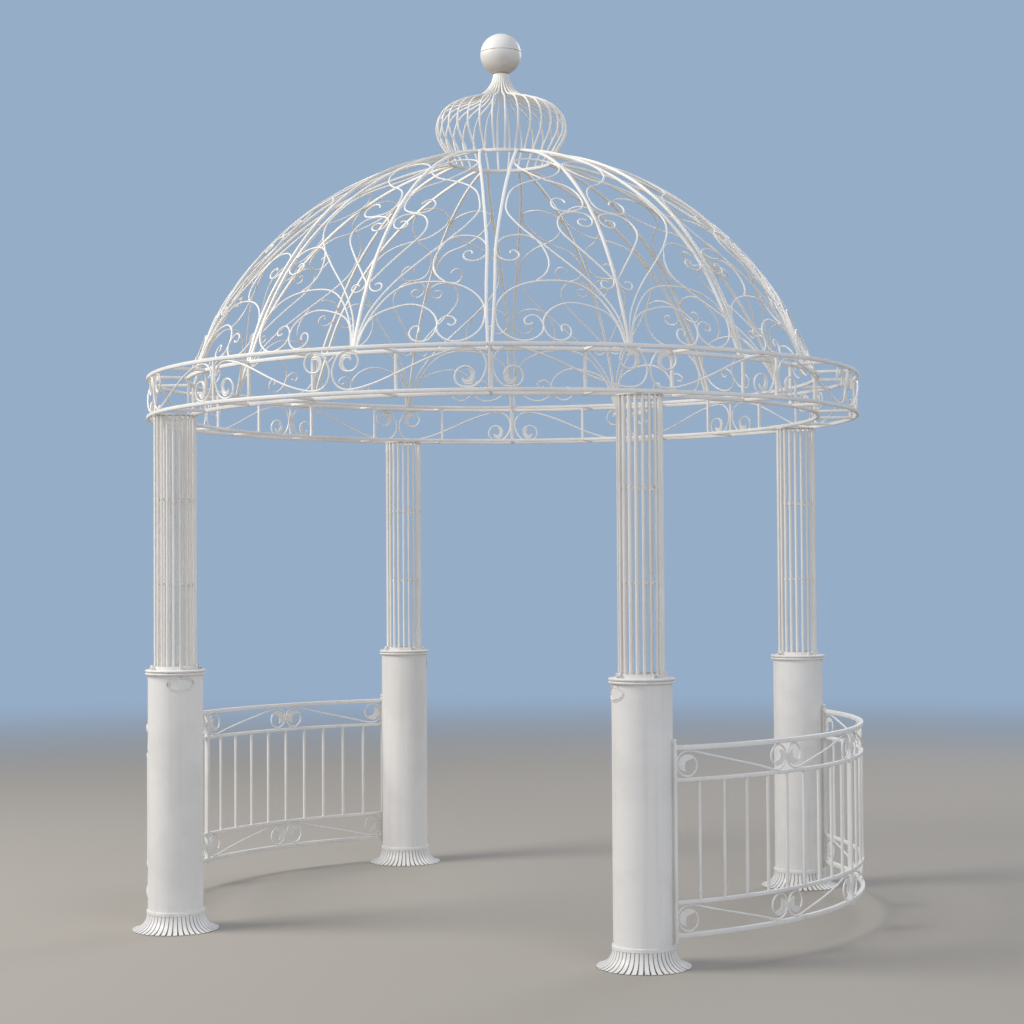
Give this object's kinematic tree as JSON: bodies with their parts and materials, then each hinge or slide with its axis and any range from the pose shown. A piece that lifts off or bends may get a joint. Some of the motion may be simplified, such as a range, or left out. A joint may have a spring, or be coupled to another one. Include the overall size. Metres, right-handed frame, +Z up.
{
  "type": "garden pavilion",
  "caption": "Round white metal garden pavilion: drum columns with rod cages, scrollwork ring beam and dome, onion crown with a ball, and curved side railings.",
  "frame": {"origin": "centre of the plan on the ground, under the middle of the dome", "axes": "+Z up, -Y out through the front entrance, +X to the right-hand railing"},
  "size_m": [3.41, 3.406, 4.2265],
  "materials": {
    "column_paint": "aged satin white paint",
    "cage_paint": "aged satin white paint",
    "ring_paint": "aged satin white paint",
    "dome_paint": "aged satin white paint",
    "crown_paint": "aged satin white paint",
    "railing_paint": "aged satin white paint"
  },
  "bodies": {
    "root": {"cage_hoops_back_left": "cage_paint", "cage_hoops_back_right": "cage_paint", "cage_hoops_front_left": "cage_paint", "cage_hoops_front_right": "cage_paint", "cage_rods_back_left": "cage_paint", "cage_rods_back_right": "cage_paint", "cage_rods_front_left": "cage_paint", "cage_rods_front_right": "cage_paint", "crown_ring": "crown_paint", "dome_panel_1": "dome_paint", "dome_panel_2": "dome_paint", "dome_panel_3": "dome_paint", "dome_panel_4": "dome_paint", "dome_panel_5": "dome_paint", "dome_panel_6": "dome_paint", "dome_panel_7": "dome_paint", "dome_panel_8": "dome_paint", "drum_back_left": "column_paint", "drum_back_right": "column_paint", "drum_cap_back_left": "column_paint", "drum_cap_back_right": "column_paint", "drum_cap_front_left": "column_paint", "drum_cap_front_right": "column_paint", "drum_front_left": "column_paint", "drum_front_right": "column_paint", "finial_ball": "crown_paint", "foot_skirt_back_left": "column_paint", "foot_skirt_back_right": "column_paint", "foot_skirt_front_left": "column_paint", "foot_skirt_front_right": "column_paint", "onion_cage": "crown_paint", "onion_neck": "crown_paint", "railing_left_back": "railing_paint", "railing_left_front": "railing_paint", "railing_right_back": "railing_paint", "railing_right_front": "railing_paint", "ring_segment_1": "ring_paint", "ring_segment_2": "ring_paint", "ring_segment_3": "ring_paint", "ring_segment_4": "ring_paint", "ring_segment_5": "ring_paint", "ring_segment_6": "ring_paint", "ring_segment_7": "ring_paint", "ring_segment_8": "ring_paint"}
  },
  "joints": []
}
